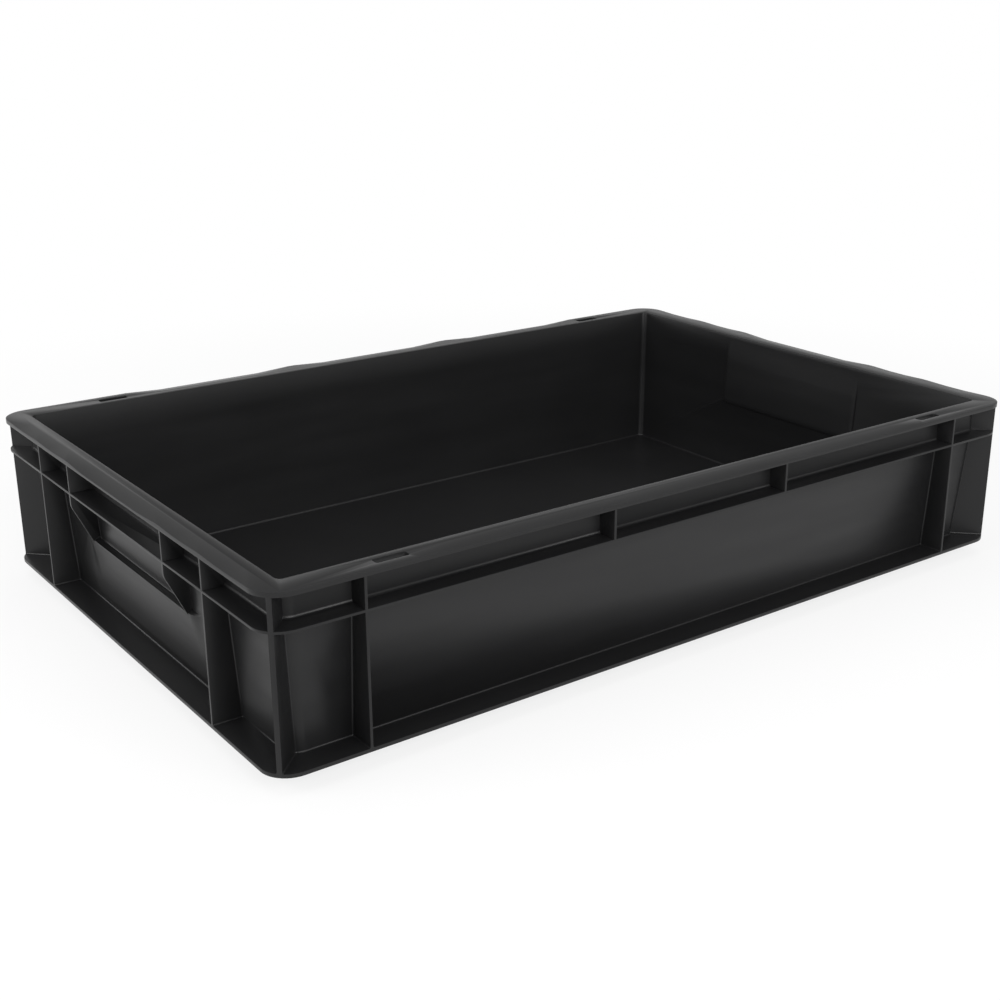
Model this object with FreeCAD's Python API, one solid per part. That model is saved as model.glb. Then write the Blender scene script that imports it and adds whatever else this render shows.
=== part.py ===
"""Euro container: a straight-sided stacking tray, injection moulded in one piece.

The frame has +Z up and +X along the long side. Its origin is the centre of the
stacking foot's underside. All sizes are in millimetres.

The tray is modelled the way its mould makes it. A full block with the flanges' outline
is the starting body. Side slides press drafted, rounded pockets into it, which leaves
the flanges, the upright fins and the wall between them. A core then presses the load
space in from above.
"""
import FreeCAD
import Part
import math
import os
from functools import partial

# Overall sizes
LENGTH = 600.0
WIDTH = 400.0
HEIGHT = 118.0

# Wall and floor
WALL = 2.5
FLOOR = 2.7

# Stacking foot under the base flange
FOOT_HEIGHT = 11.7
FOOT_ROUND = 2.0

# Flanges that run around the tray
BASE_FLANGE = 2.3
LOWER_FLANGE = 1.5
RIM = 3.0
UPPER_TIER = 22.0
FLANGE_CORNER_RADIUS = 18.0
EDGE_SETBACK = 0.7

# How far the wall's outer face stands inside the rim's edge
INSET_AT_BASE = 19.2
INSET_AT_LOWER_FLANGE = 14.2
WALL_CORNER_RADIUS = 10.0

# Upright fins and ribs: where their middles stand
RIB = 2.0
LONG_END_CELL = 59.0
SHORT_END_CELL = 76.0
LONG_RIB_SHARE = 0.297
HANDLE_RIB_SHARE = 0.58
CORNER_FIN = 3.0
POCKET_DRAFT = 0.5
POCKET_FILLET = 1.0
UPPER_POCKET_FILLET = 2.0

# Finger recess of the handle in each short side, as drops below the lower flange's top
RECESS_DROP = 35.0
RECESS_DEPTH = 7.0
RECESS_FILLET = 2.0
GUSSET_KNEE_DROP = 10.2
GUSSET_TIP_DROP = 36.5
GUSSET_BEND = 12.0

# Slots in the long rims, each beside a fin
SLOT_LENGTH = 21.0
SLOT_WIDTH = 6.0
SLOT_ROUND = 1.5
SLOT_FIN_GAP = 9.0
SLOT_EDGE_GAP = 6.0

# Relief of the rim's outer edge: deep over the wide cells, shallow over the narrow ones
RELIEF_DEPTH = 1.4
NARROW_RELIEF_DEPTH = 0.5
RELIEF_WIDTH = 10.0
RELIEF_RAMP = 26.0
RELIEF_END_GAP = 3.0

# Load space
CORE_CORNER_RADIUS = 4.0
CORE_FLOOR_FILLET = 1.5

# Worked out from the sizes above
BASE_TOP = FOOT_HEIGHT + BASE_FLANGE
LOWER_FLANGE_TOP = HEIGHT - UPPER_TIER
LOWER_FLANGE_UNDER = LOWER_FLANGE_TOP - LOWER_FLANGE
RIM_UNDER = HEIGHT - RIM
LONG_FIN = LENGTH / 2 - LONG_END_CELL
SHORT_FIN = WIDTH / 2 - SHORT_END_CELL
LONG_RIB = LONG_FIN * LONG_RIB_SHARE
HANDLE_RIB = SHORT_FIN * HANDLE_RIB_SHARE

# How far a cutter reaches past what it cuts, and how near two places count as one
BEYOND = 5.0
NEAR = 0.001

X_AXIS = FreeCAD.Vector(1, 0, 0)
Y_AXIS = FreeCAD.Vector(0, 1, 0)
Z_AXIS = FreeCAD.Vector(0, 0, 1)


def rounded_outline(inset, radius, z):
    """Return the closed outline of the tray, moved in by inset, with round corners."""
    half_x = LENGTH / 2 - inset
    half_y = WIDTH / 2 - inset
    centre_x = half_x - radius
    centre_y = half_y - radius
    diagonal = radius * math.sqrt(0.5)
    edges = []
    corners = [(1, 1), (-1, 1), (-1, -1), (1, -1)]
    starts = []
    ends = []
    arcs = []
    for sx, sy in corners:
        on_side = FreeCAD.Vector(sx * half_x, sy * centre_y, z)
        on_end = FreeCAD.Vector(sx * centre_x, sy * half_y, z)
        middle = FreeCAD.Vector(sx * (centre_x + diagonal), sy * (centre_y + diagonal), z)
        start, end = (on_side, on_end) if sx == sy else (on_end, on_side)
        starts.append(start)
        ends.append(end)
        arcs.append(Part.Arc(start, middle, end).toShape())
    for index, arc in enumerate(arcs):
        edges.append(arc)
        following = starts[(index + 1) % len(corners)]
        edges.append(Part.LineSegment(ends[index], following).toShape())
    return Part.Wire(edges)


def inset_at(z):
    """Return how far the wall's outer face stands inside the rim's edge at a height."""
    share = (min(z, LOWER_FLANGE_TOP) - BASE_TOP) / (LOWER_FLANGE_TOP - BASE_TOP)
    return INSET_AT_BASE + share * (INSET_AT_LOWER_FLANGE - INSET_AT_BASE)


def wall_form(inward, radius, z_low):
    """Return the body inside the wall's outer face moved inward, from a height up.

    The first part tapers up to the lower flange, and the second goes straight on to
    above the rim. The upright corners have the given radius.
    """
    inset_low = inset_at(z_low) + inward
    inset_high = INSET_AT_LOWER_FLANGE + inward
    x_low = LENGTH / 2 - inset_low
    y_low = WIDTH / 2 - inset_low
    x_high = LENGTH / 2 - inset_high
    y_high = WIDTH / 2 - inset_high
    taper = Part.makeWedge(
        -x_low, z_low, -y_low, -y_high, -x_high, x_low, LOWER_FLANGE_TOP, y_low, y_high, x_high
    )
    taper.rotate(FreeCAD.Vector(0, 0, 0), X_AXIS, 90)
    upright = [edge for edge in taper.Edges if edge.BoundBox.ZLength > NEAR]
    taper = taper.makeFillet(radius, upright)
    top = [face for face in taper.Faces if face.BoundBox.ZMin > LOWER_FLANGE_TOP - NEAR]
    straight = top[0].extrude(Z_AXIS * (UPPER_TIER + BEYOND))
    return taper, straight


def flange_block():
    """Return the full block between the base flange's underside and the rim's top."""
    lower = Part.Face(rounded_outline(EDGE_SETBACK, FLANGE_CORNER_RADIUS - EDGE_SETBACK, FOOT_HEIGHT))
    rim = Part.Face(rounded_outline(0, FLANGE_CORNER_RADIUS, RIM_UNDER))
    return lower.extrude(Z_AXIS * (RIM_UNDER - FOOT_HEIGHT)).fuse(rim.extrude(Z_AXIS * RIM))


def stacking_foot():
    """Return the foot that drops into the mouth of a tray below: the wall goes on down."""
    foot, _ = wall_form(0, WALL_CORNER_RADIUS, 0)
    lowest = [edge for edge in foot.Edges if edge.BoundBox.ZMax < NEAR]
    foot = foot.makeFillet(FOOT_ROUND, lowest)
    upper = Part.makeBox(2 * LENGTH, 2 * WIDTH, HEIGHT)
    upper.translate(FreeCAD.Vector(-LENGTH, -WIDTH, BASE_TOP))
    return foot.cut(upper)


def side_plan(low, high, half_across):
    """Return the plan of a pocket in the -Y side, from behind the wall's face outwards.

    low and high are the pocket's ends along the side, and half_across is half the
    tray's size across that side. The pocket widens by its draft towards the outside.
    """
    slope = math.tan(math.radians(POCKET_DRAFT))
    inside = -(half_across - INSET_AT_BASE - WALL_CORNER_RADIUS)
    outside = -(half_across + BEYOND)
    closing = WALL_CORNER_RADIUS * slope
    spread = (INSET_AT_BASE + BEYOND) * slope
    return [
        FreeCAD.Vector(low - spread, outside, 0),
        FreeCAD.Vector(low + closing, inside, 0),
        FreeCAD.Vector(high - closing, inside, 0),
        FreeCAD.Vector(high + spread, outside, 0),
    ]


def corner_plan(fin, half_along, half_across):
    """Return the plan of the pocket from a fin round to the diagonal fin.

    The pocket lies in the -Y side at its -X end.
    """
    points = side_plan(0, -(fin + RIB / 2), half_across)
    inside = points[2]
    outside = points[3]
    shift = half_across - half_along + CORNER_FIN * math.sqrt(0.5)
    return [
        outside,
        inside,
        FreeCAD.Vector(inside.y + shift, inside.y, 0),
        FreeCAD.Vector(outside.y + shift, outside.y, 0),
    ]


def rounded_pocket(plan, wall, z_low, z_high, fillet, round_roots):
    """Return a pocket over a plan between two heights, down to the wall.

    The level edge at the wall's foot gets the fillet, and with round_roots so do the
    fins' upright roots and their own level edges.
    """
    face = Part.Face(Part.makePolygon(plan + plan[:1]))
    face.translate(Z_AXIS * z_low)
    block = face.extrude(Z_AXIS * (z_high - z_low)).cut(wall)
    open_side = block.BoundBox.YMin + NEAR
    chosen = []
    for edge in block.Edges:
        box = edge.BoundBox
        wall_foot = box.YMin > open_side and box.ZMax < z_low + NEAR
        root = box.YMax > open_side and box.ZMin < z_high - NEAR
        if wall_foot or (round_roots and root):
            chosen.append(edge)
    return block.makeFillet(fillet, chosen)


def quarter_turned(shape):
    """Return a shape made for the -Y side, mirrored over the diagonal to the -X side."""
    return shape.mirror(FreeCAD.Vector(0, 0, 0), X_AXIS - Y_AXIS)


def mirrored(shape, axis):
    """Return a shape's mirror image across the middle plane normal to an axis."""
    return shape.mirror(FreeCAD.Vector(0, 0, 0), axis)


def four_corners(shape):
    """Return a shape and its images in the other three quarters."""
    across = mirrored(shape, X_AXIS)
    return [shape, across, mirrored(shape, Y_AXIS), mirrored(across, Y_AXIS)]


def spans(ribs):
    """Return the stretches between neighbours in a row of ribs on both sides of the middle."""
    marks = sorted([-rib for rib in ribs] + ribs)
    return list(zip(marks, marks[1:]))


def side_pockets(ribs, half_along, half_across, wall, shape_pocket):
    """Return the pockets of one tier in the -Y side, and the one in its -X corner."""
    pockets = []
    for low, high in spans(ribs):
        plan = side_plan(low + RIB / 2, high - RIB / 2, half_across)
        pockets.append(shape_pocket(plan, wall))
    plan = corner_plan(max(ribs), half_along, half_across)
    return pockets, shape_pocket(plan, wall)


def tier_pockets(wall, long_ribs, short_ribs, shape_pocket):
    """Return all pockets of one tier, between two flanges.

    shape_pocket makes one pocket from its plan and the wall behind it.
    """
    half_x = LENGTH / 2
    half_y = WIDTH / 2
    long_side, long_corner = side_pockets(long_ribs, half_x, half_y, wall, shape_pocket)
    turned_wall = quarter_turned(wall)
    short_side, short_corner = side_pockets(short_ribs, half_y, half_x, turned_wall, shape_pocket)
    short_side = [quarter_turned(pocket) for pocket in short_side]
    pockets = long_side + [mirrored(pocket, Y_AXIS) for pocket in long_side]
    pockets += short_side + [mirrored(pocket, X_AXIS) for pocket in short_side]
    return pockets + four_corners(long_corner) + four_corners(quarter_turned(short_corner))


def along_handle(profile, grow):
    """Return an X-Z profile drawn out along the -X handle, past its ribs by grow."""
    half = HANDLE_RIB - RIB / 2 + grow
    points = [FreeCAD.Vector(x, -half, z) for x, z in profile]
    return Part.Face(Part.makePolygon(points + points[:1])).extrude(Y_AXIS * 2 * half)


def finger_recess():
    """Return what the -X handle takes off the wall below and above the lower flange."""
    bottom = LOWER_FLANGE_TOP - RECESS_DROP
    wall_bottom = inset_at(bottom) - LENGTH / 2
    wall_top = INSET_AT_LOWER_FLANGE - LENGTH / 2
    outside = -LENGTH / 2 - BEYOND
    lower = along_handle([
        (outside, bottom),
        (wall_bottom + RECESS_DEPTH, bottom),
        (wall_top + RECESS_DEPTH, LOWER_FLANGE_UNDER),
        (outside, LOWER_FLANGE_UNDER),
    ], 0)
    inner = []
    for edge in lower.Edges:
        box = edge.BoundBox
        if box.XMax > wall_bottom + NEAR and box.ZMin < LOWER_FLANGE_UNDER - NEAR:
            inner.append(edge)
    upper = along_handle([
        (outside, LOWER_FLANGE_TOP),
        (wall_top + RECESS_DEPTH, LOWER_FLANGE_TOP),
        (wall_top, RIM_UNDER),
        (outside, RIM_UNDER),
    ], 0)
    return [lower.makeFillet(RECESS_FILLET, inner), upper]


def inner_bulge():
    """Return the swelling of the -X wall into the load space, one wall behind the recess.

    Above the lower flange it leans back to the wall, which it meets under the rim.
    """
    bottom = LOWER_FLANGE_TOP - RECESS_DROP - WALL
    deep_bottom = inset_at(bottom) - LENGTH / 2 + RECESS_DEPTH + WALL
    wall_top = INSET_AT_LOWER_FLANGE - LENGTH / 2 + WALL
    deep_top = wall_top + RECESS_DEPTH
    outside = -LENGTH / 2
    lean = (RIM_UNDER - LOWER_FLANGE_TOP) / RECESS_DEPTH
    bulge = along_handle([
        (outside, bottom),
        (deep_bottom, bottom),
        (deep_top, LOWER_FLANGE_TOP),
        (outside, LOWER_FLANGE_TOP + (deep_top - outside) * lean),
    ], WALL)
    edges = [edge for edge in bulge.Edges if edge.BoundBox.XMax > wall_top + NEAR]
    return bulge.makeFillet(RECESS_FILLET + WALL, edges)


def handle_gusset():
    """Return the gusset at the -Y end of the -X handle, below the lower flange.

    Its outer edge drops straight from the flange to a knee, then runs in to a tip on
    the wall. The knee is an arc.
    """
    edge = -LENGTH / 2 + EDGE_SETBACK
    knee = LOWER_FLANGE_TOP - GUSSET_KNEE_DROP
    tip = LOWER_FLANGE_TOP - GUSSET_TIP_DROP
    wall = -(LENGTH / 2 - inset_at(tip))
    buried = wall + WALL / 2
    top = LOWER_FLANGE_TOP - LOWER_FLANGE / 2
    side = -(HANDLE_RIB + RIB / 2)
    outline = [
        FreeCAD.Vector(buried, side, top),
        FreeCAD.Vector(edge, side, top),
        FreeCAD.Vector(edge, side, knee),
        FreeCAD.Vector(wall, side, tip),
        FreeCAD.Vector(buried, side, tip),
    ]
    plate = Part.Face(Part.makePolygon(outline + outline[:1])).extrude(FreeCAD.Vector(0, RIB, 0))
    bend = [item for item in plate.Edges if edge_at(item, edge, knee)]
    return plate.makeFillet(GUSSET_BEND, bend)


def edge_at(edge, x, z):
    """Tell whether an edge runs along Y at the given X and Z."""
    box = edge.BoundBox
    return abs(box.XMin - x) + abs(box.XMax - x) + abs(box.ZMin - z) + abs(box.ZMax - z) < NEAR


def core():
    """Return the core that presses the load space, with the handles' bulges left out."""
    taper, straight = wall_form(WALL, CORE_CORNER_RADIUS, FLOOR)
    floor_edges = [edge for edge in taper.Edges if edge.BoundBox.ZMax < FLOOR + NEAR]
    block = taper.makeFillet(CORE_FLOOR_FILLET, floor_edges).fuse(straight)
    bulge = inner_bulge()
    return block.cut(Part.makeCompound([bulge, mirrored(bulge, X_AXIS)]))


def edge_relief(low, high, depth, half_across):
    """Return what is taken off the -Y rim between two ribs, where its top slopes outwards.

    The cut is deepest at the rim's edge and runs out to nothing at both ends.
    """
    edge = -half_across
    start = low + RELIEF_END_GAP
    stop = high - RELIEF_END_GAP
    bottom = HEIGHT - depth
    inner = edge + RELIEF_WIDTH
    ramp = min(RELIEF_RAMP, (stop - start) / 3)
    tips = [FreeCAD.Vector(start, edge, HEIGHT), FreeCAD.Vector(stop, edge, HEIGHT)]
    low_inner = FreeCAD.Vector(start + ramp, inner, HEIGHT)
    low_edge = FreeCAD.Vector(start + ramp, edge, bottom)
    high_inner = FreeCAD.Vector(stop - ramp, inner, HEIGHT)
    high_edge = FreeCAD.Vector(stop - ramp, edge, bottom)
    rings = [
        [tips[0], low_edge, low_inner],
        [tips[1], high_inner, high_edge],
        [low_edge, high_edge, high_inner, low_inner],
        [tips[0], low_inner, high_inner, tips[1]],
        [tips[0], tips[1], high_edge, low_edge],
    ]
    faces = [Part.Face(Part.makePolygon(ring + ring[:1])) for ring in rings]
    return Part.makeSolid(Part.makeShell(faces))


def rim_reliefs():
    """Return the reliefs of the whole rim. The long rims stay level from the slots on."""
    slot_end = SLOT_FIN_GAP + SLOT_LENGTH + RIB / 2
    corner = WIDTH / 2 - FLANGE_CORNER_RADIUS
    cutters = []
    for low, high in spans([LONG_RIB, LONG_FIN - slot_end]):
        relief = edge_relief(low, high, RELIEF_DEPTH, WIDTH / 2)
        cutters += [relief, mirrored(relief, Y_AXIS)]
    over_handle = quarter_turned(edge_relief(-HANDLE_RIB, HANDLE_RIB, RELIEF_DEPTH, LENGTH / 2))
    cutters += [over_handle, mirrored(over_handle, X_AXIS)]
    for low, high in ((HANDLE_RIB, SHORT_FIN), (SHORT_FIN, corner)):
        relief = quarter_turned(edge_relief(low, high, NARROW_RELIEF_DEPTH, LENGTH / 2))
        cutters += four_corners(relief)
    return cutters


def rim_slots():
    """Return the four slots in the long rims."""
    slot = Part.makeBox(SLOT_LENGTH, SLOT_WIDTH, RIM + 2 * BEYOND)
    upright = [edge for edge in slot.Edges if edge.BoundBox.ZLength > RIM]
    slot = slot.makeFillet(SLOT_ROUND, upright)
    start = -(LONG_FIN - RIB / 2 - SLOT_FIN_GAP)
    slot.translate(FreeCAD.Vector(start, SLOT_EDGE_GAP - WIDTH / 2, RIM_UNDER - BEYOND))
    return four_corners(slot)


def container_body():
    """Return the whole tray as one solid."""
    body = flange_block().fuse(stacking_foot())
    taper, straight = wall_form(0, WALL_CORNER_RADIUS, 0)
    lower = partial(
        rounded_pocket,
        z_low=BASE_TOP,
        z_high=LOWER_FLANGE_UNDER,
        fillet=POCKET_FILLET,
        round_roots=True,
    )
    upper = partial(
        rounded_pocket,
        z_low=LOWER_FLANGE_TOP,
        z_high=RIM_UNDER,
        fillet=UPPER_POCKET_FILLET,
        round_roots=False,
    )
    cutters = tier_pockets(taper, [LONG_FIN], [SHORT_FIN], lower)
    cutters += tier_pockets(straight, [LONG_RIB, LONG_FIN], [HANDLE_RIB, SHORT_FIN], upper)
    body = body.cut(Part.makeCompound(cutters))
    body = body.fuse(four_corners(handle_gusset()))
    recess = finger_recess()
    body = body.cut(Part.makeCompound(recess + [mirrored(part, X_AXIS) for part in recess]))
    body = body.cut(core())
    body = body.cut(Part.makeCompound(rim_reliefs()))
    body = body.cut(Part.makeCompound(rim_slots()))
    return body.removeSplitter()


os.makedirs("parts", exist_ok=True)
tray = container_body()
solids = tray.Solids
print("solids", len(solids), "valid", tray.isValid(), "faces", len(tray.Faces), "volume", round(tray.Volume))
solids[0].exportStep("parts/container_body.step")
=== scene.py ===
"""Looks of a black euro container, a shallow moulded stacking tray, in a soft white studio."""
import logging
import math
from dataclasses import dataclass, field
from enum import Enum

import bmesh
import bpy
from mathutils import Matrix, Vector


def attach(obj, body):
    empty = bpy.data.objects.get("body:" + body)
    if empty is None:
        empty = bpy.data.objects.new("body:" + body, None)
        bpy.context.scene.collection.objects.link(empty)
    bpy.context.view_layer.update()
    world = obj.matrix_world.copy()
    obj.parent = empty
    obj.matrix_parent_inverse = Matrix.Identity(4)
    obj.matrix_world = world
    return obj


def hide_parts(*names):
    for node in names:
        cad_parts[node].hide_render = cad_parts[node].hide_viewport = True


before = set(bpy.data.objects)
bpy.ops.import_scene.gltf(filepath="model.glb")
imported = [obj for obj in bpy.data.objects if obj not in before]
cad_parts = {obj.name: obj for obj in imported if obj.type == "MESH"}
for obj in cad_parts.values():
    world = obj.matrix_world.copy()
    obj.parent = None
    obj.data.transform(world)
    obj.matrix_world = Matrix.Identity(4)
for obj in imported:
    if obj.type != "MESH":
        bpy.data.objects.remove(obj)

LOG = logging.getLogger("tray")
WHITE = (1.0, 1.0, 1.0, 1.0)


class Slot(Enum):
    """The record's material slots."""

    BODY = "body"


class Body(Enum):
    """The bodies of the frame."""

    TRAY = "root"


def towards(azimuth_deg: float, elevation_deg: float) -> Vector:
    """Return the unit vector from the tray to a viewer; azimuth 0 stands before the -Y side."""
    azimuth = math.radians(azimuth_deg)
    elevation = math.radians(elevation_deg)
    level = math.cos(elevation)
    return Vector((math.sin(azimuth) * level, -math.cos(azimuth) * level, math.sin(elevation)))


@dataclass
class NodeBoard:
    """A node tree with short calls for adding and joining its nodes.

    Attributes:
        tree: The node tree that is filled.
    """

    tree: bpy.types.NodeTree

    def add(self, kind: str, **settings: object) -> bpy.types.Node:
        """Add a node and set its options.

        Args:
            kind: The node's type name.
            **settings: Properties of the node, by name.

        Returns:
            The new node.
        """
        node = self.tree.nodes.new(kind)
        for name, value in settings.items():
            setattr(node, name, value)
        return node

    def join(self, source: bpy.types.NodeSocket, target: bpy.types.NodeSocket) -> None:
        """Link one socket to another."""
        self.tree.links.new(source, target)

    def feed(self, target: bpy.types.NodeSocket, value: object) -> None:
        """Give a socket its value: a number, or another node's output."""
        if isinstance(value, bpy.types.NodeSocket):
            self.join(value, target)
        else:
            target.default_value = value

    def math(
        self, operation: str, first: object, second: object = 0.0
    ) -> bpy.types.NodeSocket:
        """Add a math node.

        Args:
            operation: The sum to do, such as MULTIPLY.
            first: A number or an output socket.
            second: A number or an output socket.

        Returns:
            The result's socket.
        """
        node = self.add("ShaderNodeMath", operation=operation)
        self.feed(node.inputs[0], first)
        self.feed(node.inputs[1], second)
        return node.outputs[0]

    def noise(
        self, place: bpy.types.NodeSocket, scale: object, detail: float
    ) -> bpy.types.NodeSocket:
        """Add a noise texture.

        Args:
            place: The coordinates that it reads.
            scale: A number or an output socket.
            detail: How much finer noise it carries.

        Returns:
            The noise's value.
        """
        node = self.add("ShaderNodeTexNoise", noise_dimensions="3D")
        self.join(place, node.inputs["Vector"])
        self.feed(node.inputs["Scale"], scale)
        node.inputs["Detail"].default_value = detail
        return node.outputs["Fac"]

    def remap(
        self,
        value: bpy.types.NodeSocket,
        source: tuple[float, float],
        target: tuple[float, float],
        smooth: bool = False,
    ) -> bpy.types.NodeSocket:
        """Add a node that carries one range over to another.

        Args:
            value: The value to carry over.
            source: The range that it comes in.
            target: The range that it leaves in.
            smooth: Whether it eases in and out.

        Returns:
            The result's socket.
        """
        kind = "SMOOTHSTEP" if smooth else "LINEAR"
        node = self.add("ShaderNodeMapRange", interpolation_type=kind)
        for label, number in zip(("From Min", "From Max"), source):
            node.inputs[label].default_value = number
        for label, number in zip(("To Min", "To Max"), target):
            node.inputs[label].default_value = number
        self.join(value, node.inputs["Value"])
        return node.outputs["Result"]


@dataclass(frozen=True)
class MouldedGrain:
    """The skin that a blasted mould leaves on plastic: fine grain and slow waves.

    Attributes:
        name: The node group's name.
        grain_size: Size of the fine grain, in metres.
        grain_detail: How much finer noise the grain carries.
        wave_size: Size of the slow waves, in metres.
        wave_detail: How much finer noise the waves carry.
        wave_share: How high the waves stand beside the grain.
        streak_scale: How often the streaks come in a metre.
        streak_detail: How much finer noise the streaks carry.
        streak_squash: How much closer they lie along Z than across it.
    """

    name: str = "moulded_grain"
    grain_size: float = 0.0006
    grain_detail: float = 3.0
    wave_size: float = 0.05
    wave_detail: float = 2.0
    wave_share: float = 0.3
    streak_scale: float = 7.0
    streak_detail: float = 4.0
    streak_squash: float = 9.0

    def group(self) -> bpy.types.NodeTree:
        """Build the shader group once.

        Returns:
            The group, with inputs Grain Size, Wave Size and Wave Share, and outputs
            Height, Cloud and Streak.
        """
        found = bpy.data.node_groups.get(self.name)
        if found is not None:
            return found
        tree = bpy.data.node_groups.new(self.name, "ShaderNodeTree")
        sizes = {
            "Grain Size": self.grain_size,
            "Wave Size": self.wave_size,
            "Wave Share": self.wave_share,
        }
        for label, value in sizes.items():
            socket = tree.interface.new_socket(
                label, in_out="INPUT", socket_type="NodeSocketFloat"
            )
            socket.default_value = value
        for label in ("Height", "Cloud", "Streak"):
            tree.interface.new_socket(
                label, in_out="OUTPUT", socket_type="NodeSocketFloat"
            )
        board = NodeBoard(tree)
        entry = board.add("NodeGroupInput")
        leave = board.add("NodeGroupOutput")
        place = board.add("ShaderNodeTexCoord").outputs["Object"]
        grain_scale = board.math("DIVIDE", 1.0, entry.outputs["Grain Size"])
        wave_scale = board.math("DIVIDE", 1.0, entry.outputs["Wave Size"])
        stretch = board.add("ShaderNodeMapping")
        stretch.inputs["Scale"].default_value = (1.0, 1.0, self.streak_squash)
        board.join(place, stretch.inputs["Vector"])
        fine = board.noise(place, grain_scale, self.grain_detail)
        wave = board.noise(place, wave_scale, self.wave_detail)
        streak = board.noise(stretch.outputs["Vector"], self.streak_scale, self.streak_detail)
        waves = board.math("MULTIPLY", wave, entry.outputs["Wave Share"])
        board.join(board.math("ADD", fine, waves), leave.inputs["Height"])
        board.join(wave, leave.inputs["Cloud"])
        board.join(streak, leave.inputs["Streak"])
        return tree


@dataclass(frozen=True)
class BlackPolypropylene:
    """Satin black polypropylene, dyed through and moulded against fine blasted steel.

    Attributes:
        name: The material's name.
        colour: The plastic's linear colour.
        light_colour: The same where the skin scatters a little more light.
        roughness_low: Roughness where the skin is polished.
        roughness_high: Roughness where the skin is matt.
        streak_range: The streaks' values between which the roughness rises.
        grain_height: How high the grain stands, in metres.
        grain_strength: How much of the grain's tilt the light sees.
        ior: The plastic's index of refraction.
        specular: How much of the plastic's mirror light is kept; 0.5 is all of it.
    """

    name: str = "black_polypropylene"
    colour: tuple[float, float, float] = (0.0066, 0.0066, 0.0069)
    light_colour: tuple[float, float, float] = (0.0092, 0.0092, 0.0096)
    roughness_low: float = 0.33
    roughness_high: float = 0.43
    streak_range: tuple[float, float] = (0.3, 0.7)
    grain_height: float = 0.00001
    grain_strength: float = 0.6
    ior: float = 1.49
    specular: float = 0.3

    def material(self) -> bpy.types.Material:
        """Build the material.

        Returns:
            The material with its nodes.
        """
        made = bpy.data.materials.new(self.name)
        made.use_nodes = True
        made.node_tree.nodes.clear()
        board = NodeBoard(made.node_tree)
        out = board.add("ShaderNodeOutputMaterial")
        shader = board.add("ShaderNodeBsdfPrincipled")
        shader.inputs["IOR"].default_value = self.ior
        shader.inputs["Specular IOR Level"].default_value = self.specular
        board.join(shader.outputs["BSDF"], out.inputs["Surface"])
        grain = board.add("ShaderNodeGroup", node_tree=MouldedGrain().group())
        colour = board.add("ShaderNodeMix", data_type="RGBA")
        colour.inputs[6].default_value = (*self.colour, 1.0)
        colour.inputs[7].default_value = (*self.light_colour, 1.0)
        board.join(grain.outputs["Cloud"], colour.inputs[0])
        board.join(colour.outputs[2], shader.inputs["Base Color"])
        levels = (self.roughness_low, self.roughness_high)
        rough = board.remap(grain.outputs["Streak"], self.streak_range, levels)
        board.join(rough, shader.inputs["Roughness"])
        bump = board.add("ShaderNodeBump")
        bump.inputs["Strength"].default_value = self.grain_strength
        bump.inputs["Distance"].default_value = self.grain_height
        board.join(grain.outputs["Height"], bump.inputs["Height"])
        board.join(bump.outputs["Normal"], shader.inputs["Normal"])
        return made


def ease(low: float, high: float, value: float) -> float:
    """Return 0 below low, 1 above high and a smooth rise between them."""
    share = min(max((value - low) / (high - low), 0.0), 1.0)
    return share * share * (3.0 - 2.0 * share)


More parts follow.
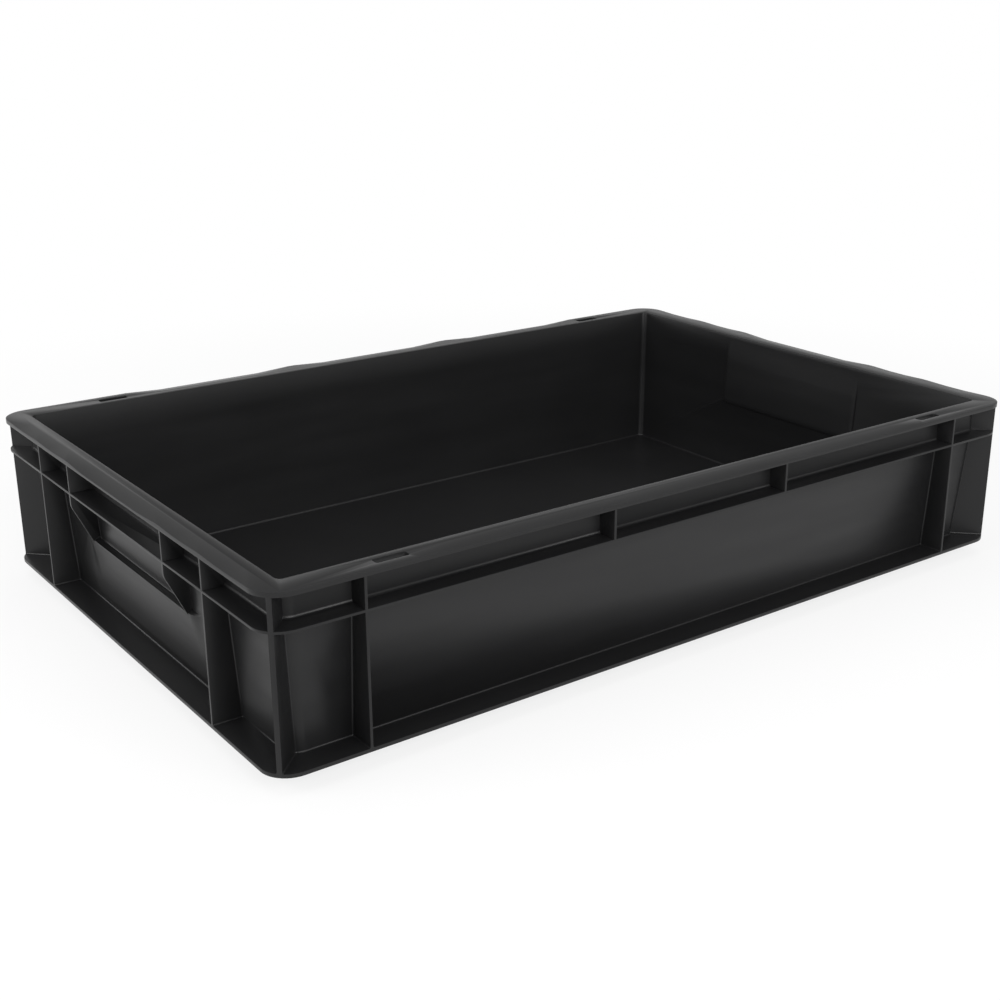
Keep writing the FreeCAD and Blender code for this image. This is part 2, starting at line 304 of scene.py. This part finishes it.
@dataclass(frozen=True)
class HandleForm:
    """The finger recess of the short walls, shallow and over a swollen panel.

    The wall behind the fingers stands nearly flush inside, and the panel below swells
    outwards into a lip.

    Attributes:
        half_length: From the middle to the rim's edge, in metres like all that follows.
        inset_low: How far the wall stands inside the rim's edge at foot_top.
        inset_high: The same from the lower flange up.
        foot_top: Where the tapered wall begins.
        flange_top: Where the tapered wall ends.
        wall: The wall's thickness.
        half_width: Half the recess's width.
        reach: How far the gussets and the bulge's rounding go past half_width.
        ledge: Height of the recess's floor.
        depth_share: How much of the solid's depth is kept.
        lip: How far the panel swells out at the ledge.
        lip_start: Height at which the swelling starts.
        lip_step: Height in which it ends above the ledge, beside the gussets.
        lip_fade: How far it runs on beside the gussets.
        rows: Rows of faces on the swelling.
        columns: Columns of faces where it fades.
        near: Points nearer than this to the wall's plane are on it.
        deepest: No point of the recess lies deeper than this.
        across: Faces whose normal leans less than this along X are left as they are.
        outward: Faces of the panel have a normal that leans at least this much along X.
    """

    half_length: float = 0.3
    inset_low: float = 0.0192
    inset_high: float = 0.0142
    foot_top: float = 0.014
    flange_top: float = 0.096
    wall: float = 0.0025
    half_width: float = 0.071
    reach: float = 0.0028
    ledge: float = 0.061
    depth_share: float = 0.28
    lip: float = 0.0033
    lip_start: float = 0.02
    lip_step: float = 0.0012
    lip_fade: float = 0.013
    rows: int = 10
    columns: int = 5
    near: float = 0.00005
    deepest: float = 0.0075
    across: float = 0.02
    outward: float = 0.9

    def depth(self, point: Vector, side: int) -> float:
        """Return how deep a point lies behind the outer face of the wall on that side."""
        height = min(point.z, self.flange_top) - self.foot_top
        share = height / (self.flange_top - self.foot_top)
        inset = self.inset_low + share * (self.inset_high - self.inset_low)
        return self.half_length - inset - side * point.x

    def on_panel(self, face: bmesh.types.BMFace, side: int) -> bool:
        """Tell whether a face is part of the outer wall below the flange on that side."""
        if face.normal.x * side < self.outward:
            return False
        low = self.foot_top + self.near
        return all(abs(self.depth(v.co, side)) < self.near and v.co.z > low for v in face.verts)

    def apply(self, work: bmesh.types.BMesh) -> None:
        """Reshape both handles of a mesh.

        Args:
            work: The tray's mesh, with its points merged.
        """
        for side in (-1, 1):
            self.shallow(work, side)
            self.cut_panel(work, side)
            for vertex in work.verts:
                if abs(self.depth(vertex.co, side)) < self.near:
                    vertex.co.x += side * self.swelling(vertex.co)
        work.normal_update()

    def shallow(self, work: bmesh.types.BMesh, side: int) -> None:
        """Bring the recess and the bulge behind it out towards the wall's own planes.

        Args:
            work: The tray's mesh.
            side: Which end of the tray, -1 or 1.
        """
        moves = {}
        for face in work.faces:
            facing = face.normal.x * side
            if abs(facing) < self.across:
                continue
            base = 0.0 if facing > 0.0 else self.wall
            for vertex in face.verts:
                point = vertex.co
                beside = abs(point.y) > self.half_width + self.reach
                if beside or point.z < self.ledge - self.reach:
                    continue
                extra = self.depth(point, side) - base
                if self.near < extra < self.deepest:
                    moves[vertex] = side * extra * (1.0 - self.depth_share)
        for vertex, shift in moves.items():
            vertex.co.x += shift

    def cut_panel(self, work: bmesh.types.BMesh, side: int) -> None:
        """Cut the panel below the handle into a grid that can swell.

        Args:
            work: The tray's mesh.
            side: Which end of the tray, -1 or 1.
        """
        upward = Vector((0, 0, 1))
        sideways = Vector((0, 1, 0))
        cuts = [(upward * (self.ledge + self.lip_step), upward)]
        for row in range(self.rows + 1):
            height = self.lip_start + (self.ledge - self.lip_start) * row / self.rows
            cuts.append((upward * height, upward))
        for column in range(self.columns + 1):
            reach = self.half_width + self.reach + self.lip_fade * column / self.columns
            cuts.append((sideways * reach, sideways))
            cuts.append((sideways * -reach, sideways))
        for place, normal in cuts:
            faces = [face for face in work.faces if self.on_panel(face, side)]
            edges = list({edge for face in faces for edge in face.edges})
            points = list({vertex for face in faces for vertex in face.verts})
            bmesh.ops.bisect_plane(
                work, geom=points + edges + faces, dist=self.near, plane_co=place, plane_no=normal
            )
            work.normal_update()

    def swelling(self, point: Vector) -> float:
        """Return how far the outer face swells out at a point.

        Up to the ledge it follows the first half of a smooth rise, so that the lip is
        where the panel leans out most.

        Args:
            point: A point on the wall's outer face.

        Returns:
            The swelling there, in metres.
        """
        fade_start = self.half_width + self.reach
        beside = 1.0 - ease(fade_start, fade_start + self.lip_fade, abs(point.y))
        if point.z > self.ledge + self.near:
            above = (point.z - self.ledge) / self.lip_step
            return self.lip * beside * max(0.0, 1.0 - above)
        rise_end = 2 * self.ledge - self.lip_start
        return self.lip * beside * ease(self.lip_start, rise_end, point.z) * 2


@dataclass
class TrayShell:
    """The moulded tray: one piece with the solid's own form and softened edges.

    Attributes:
        node: The solid that the piece stands for.
        weld: Points nearer than this are one.
        edge_round: Radius of the mould's parting edges.
        edge_steps: Faces across an edge round.
        crease_deg: Edges sharper than this are rounded.
        flat_deg: Faces that meet at less than this become one.
        finish: The plastic.
        handle: The form of the finger recesses.
    """

    node: str = "container_body"
    weld: float = 0.00001
    edge_round: float = 0.00035
    edge_steps: int = 2
    crease_deg: float = 32.0
    flat_deg: float = 0.3
    finish: BlackPolypropylene = field(default_factory=BlackPolypropylene)
    handle: HandleForm = field(default_factory=HandleForm)

    def build(self) -> bpy.types.Object:
        """Copy the solid's surface, form its handles and round its edges.

        Returns:
            The piece.
        """
        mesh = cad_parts[self.node].data.copy()
        mesh.name = "tray_shell"
        work = bmesh.new()
        work.from_mesh(mesh)
        bmesh.ops.remove_doubles(work, verts=work.verts, dist=self.weld)
        work.normal_update()
        self.handle.apply(work)
        flat = math.radians(self.flat_deg)
        bmesh.ops.dissolve_limit(work, angle_limit=flat, verts=work.verts, edges=work.edges)
        work.to_mesh(mesh)
        work.free()
        piece = bpy.data.objects.new("tray_shell", mesh)
        bpy.context.scene.collection.objects.link(piece)
        bevel = piece.modifiers.new("edge_round", "BEVEL")
        bevel.width = self.edge_round
        bevel.segments = self.edge_steps
        bevel.limit_method = "ANGLE"
        bevel.angle_limit = math.radians(self.crease_deg)
        bevel.use_clamp_overlap = True
        return piece

    def dress(self, piece: bpy.types.Object) -> None:
        """Give the piece its plastic, its smooth shading and its place in the frame.

        Args:
            piece: The built shell.
        """
        graph = bpy.context.evaluated_depsgraph_get()
        mesh = bpy.data.meshes.new_from_object(piece.evaluated_get(graph))
        piece.modifiers.clear()
        piece.data = mesh
        mesh.materials.clear()
        mesh.materials.append(self.finish.material())
        for polygon in mesh.polygons:
            polygon.use_smooth = True
        mesh.set_sharp_from_angle(angle=math.radians(self.crease_deg))
        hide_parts(self.node)
        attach(piece, Body.TRAY.value)


@dataclass
class PhotoCamera:
    """The camera at the reference view, as solved from the tray's straight edges.

    Attributes:
        eye: Where it stands, in metres.
        azimuth_deg: Its angle about the tray; 0 looks along +Y.
        elevation_deg: Its angle above the horizon.
        roll_deg: Its turn about its own line of sight.
        focal_px: Focal length, in pixels of the square picture.
        centre_px: Where its line of sight meets the picture.
        picture_px: The picture's side.
        sensor_mm: The sensor's width.
    """

    eye: tuple[float, float, float] = (-0.5924, -0.8112, 0.4087)
    azimuth_deg: float = -37.398
    elevation_deg: float = 19.775
    roll_deg: float = 0.2995
    focal_px: float = 1460.4
    centre_px: tuple[float, float] = (544.1, 500.5)
    picture_px: float = 1000.0
    sensor_mm: float = 36.0

    def build(self) -> bpy.types.Object:
        """Create the camera and make it the scene's own.

        Returns:
            The camera object.
        """
        data = bpy.data.cameras.new("photo_camera")
        data.sensor_width = self.sensor_mm
        data.lens = self.focal_px / self.picture_px * data.sensor_width
        data.shift_x = (self.picture_px / 2 - self.centre_px[0]) / self.picture_px
        data.shift_y = (self.centre_px[1] - self.picture_px / 2) / self.picture_px
        data.dof.use_dof = False
        roll = math.radians(self.roll_deg)
        back = towards(self.azimuth_deg, self.elevation_deg)
        level = towards(self.azimuth_deg + 90.0, 0.0)
        raised = back.cross(level)
        right = level * math.cos(roll) + raised * math.sin(roll)
        up = raised * math.cos(roll) - level * math.sin(roll)
        turn = Matrix((right, up, back)).transposed().to_4x4()
        camera = bpy.data.objects.new("photo_camera", data)
        camera.matrix_world = Matrix.Translation(Vector(self.eye)) @ turn
        bpy.context.scene.collection.objects.link(camera)
        bpy.context.scene.camera = camera
        return camera


@dataclass(frozen=True)
class SoftBox:
    """One area lamp that points at the tray's middle.

    Attributes:
        name: The lamp's name.
        azimuth_deg: Its side of the tray; 0 stands before the -Y side.
        elevation_deg: Its angle above the horizon.
        distance: How far it stands from the tray's middle, in metres.
        size: Width and height of its face, in metres.
        power: Its power in watts.
    """

    name: str
    azimuth_deg: float
    elevation_deg: float
    distance: float
    size: tuple[float, float]
    power: float

    def build(self, aim: Vector) -> bpy.types.Object:
        """Create the lamp.

        Args:
            aim: The point that it faces.

        Returns:
            The lamp object.
        """
        data = bpy.data.lights.new(self.name, "AREA")
        data.shape = "RECTANGLE"
        data.size, data.size_y = self.size
        data.energy = self.power
        back = towards(self.azimuth_deg, self.elevation_deg)
        lamp = bpy.data.objects.new(self.name, data)
        lamp.location = aim + back * self.distance
        lamp.rotation_mode = "QUATERNION"
        lamp.rotation_quaternion = back.to_track_quat("Z", "Y")
        bpy.context.scene.collection.objects.link(lamp)
        return lamp


@dataclass
class Studio:
    """White paper under soft boxes, in a grey room that the plastic reflects.

    Attributes:
        room_strength: How light the room is well above the horizon.
        horizon_white: Height of a direction up to which the room is white.
        horizon_end: Height of a direction from which it has room_strength.
        boxes: The soft boxes.
        paper_colour: How light the floor's paper is.
        near_white: How much of the paper near the tray is plain white; the rest is lit.
        near_radius: From here on the paper whitens, in metres.
        far_radius: From here on all of it is plain white.
        floor_half: Half the floor's side, in metres.
        aim_height: Height of the point that the soft boxes face.
    """

    room_strength: float = 0.48
    horizon_white: float = 0.12
    horizon_end: float = 0.26
    boxes: tuple[SoftBox, ...] = (
        SoftBox("overhead", -40.0, 84.0, 2.0, (2.4, 2.4), 14.0),
        SoftBox("front_high", -5.0, 29.0, 2.0, (1.6, 0.8), 27.0),
        SoftBox("left_high", -95.0, 29.0, 2.0, (1.2, 0.7), 19.0),
        SoftBox("back_left", -142.0, 9.0, 1.6, (1.0, 0.4), 2.5),
    )
    paper_colour: float = 0.8
    near_white: float = 0.8
    near_radius: float = 0.5
    far_radius: float = 0.95
    floor_half: float = 40.0
    aim_height: float = 0.06

    def build(self) -> None:
        """Create the room, the lamps and the floor."""
        bpy.context.scene.view_settings.view_transform = "Standard"
        aim = Vector((0.0, 0.0, self.aim_height))
        for box in self.boxes:
            box.build(aim)
        self.room()
        self.floor()

    def room(self) -> None:
        """Fill the world: a white backdrop at the horizon, and a grey room above it."""
        world = bpy.data.worlds.new("room")
        bpy.context.scene.world = world
        world.use_nodes = True
        world.node_tree.nodes.clear()
        board = NodeBoard(world.node_tree)
        out = board.add("ShaderNodeOutputWorld")
        light = board.add("ShaderNodeBackground")
        light.inputs["Color"].default_value = WHITE
        place = board.add("ShaderNodeTexCoord")
        split = board.add("ShaderNodeSeparateXYZ")
        board.join(place.outputs["Object"], split.inputs[0])
        heights = (self.horizon_white, self.horizon_end)
        fall = board.remap(split.outputs["Z"], heights, (1.0, self.room_strength), smooth=True)
        board.join(fall, light.inputs["Strength"])
        board.join(light.outputs["Background"], out.inputs["Surface"])

    def floor(self) -> bpy.types.Object:
        """Lay the paper, which keeps the tray's soft shadow and is white farther out.

        Returns:
            The floor object.
        """
        half = self.floor_half
        mesh = bpy.data.meshes.new("studio_floor")
        signs = ((-1, -1), (1, -1), (1, 1), (-1, 1))
        corners = [(x * half, y * half, 0.0) for x, y in signs]
        mesh.from_pydata(corners, [], [range(len(corners))])
        mesh.materials.append(self.paper())
        floor = bpy.data.objects.new("studio_floor", mesh)
        bpy.context.scene.collection.objects.link(floor)
        return floor

    def paper(self) -> bpy.types.Material:
        """Build the floor's white paper.

        Returns:
            The material, which to camera, glossy and transmission rays is lit paper near
            the tray and white light farther out, and to other rays is paper alone.
        """
        material = bpy.data.materials.new("floor_paper")
        material.use_nodes = True
        material.node_tree.nodes.clear()
        board = NodeBoard(material.node_tree)
        out = board.add("ShaderNodeOutputMaterial")
        paper = board.add("ShaderNodeBsdfDiffuse")
        paper.inputs["Color"].default_value = (*[self.paper_colour] * 3, 1.0)
        white = board.add("ShaderNodeEmission")
        white.inputs["Strength"].default_value = 1.0
        place = board.add("ShaderNodeTexCoord")
        reach = board.add("ShaderNodeVectorMath", operation="LENGTH")
        board.join(place.outputs["Object"], reach.inputs[0])
        radii = (self.near_radius, self.far_radius)
        far = board.remap(reach.outputs["Value"], radii, (self.near_white, 1.0), smooth=True)
        seen = board.add("ShaderNodeMixShader")
        board.join(far, seen.inputs["Fac"])
        board.join(paper.outputs["BSDF"], seen.inputs[1])
        board.join(white.outputs["Emission"], seen.inputs[2])
        path = board.add("ShaderNodeLightPath")
        glossy = path.outputs["Is Glossy Ray"]
        through = board.math("MAXIMUM", glossy, path.outputs["Is Transmission Ray"])
        shown = board.math("MAXIMUM", path.outputs["Is Camera Ray"], through)
        mix = board.add("ShaderNodeMixShader")
        board.join(shown, mix.inputs["Fac"])
        board.join(paper.outputs["BSDF"], mix.inputs[1])
        board.join(seen.outputs["Shader"], mix.inputs[2])
        board.join(mix.outputs["Shader"], out.inputs["Surface"])
        return material


def main() -> None:
    """Build the tray, its studio and its camera, and log the shell's face count."""
    logging.basicConfig(level=logging.INFO, format="%(name)s: %(message)s")
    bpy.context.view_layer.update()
    shell = TrayShell()
    piece = shell.build()
    shell.dress(piece)
    LOG.info("%s: %d faces", piece.name, len(piece.data.polygons))
    Studio().build()
    PhotoCamera().build()


if __name__ == "__main__":
    main()
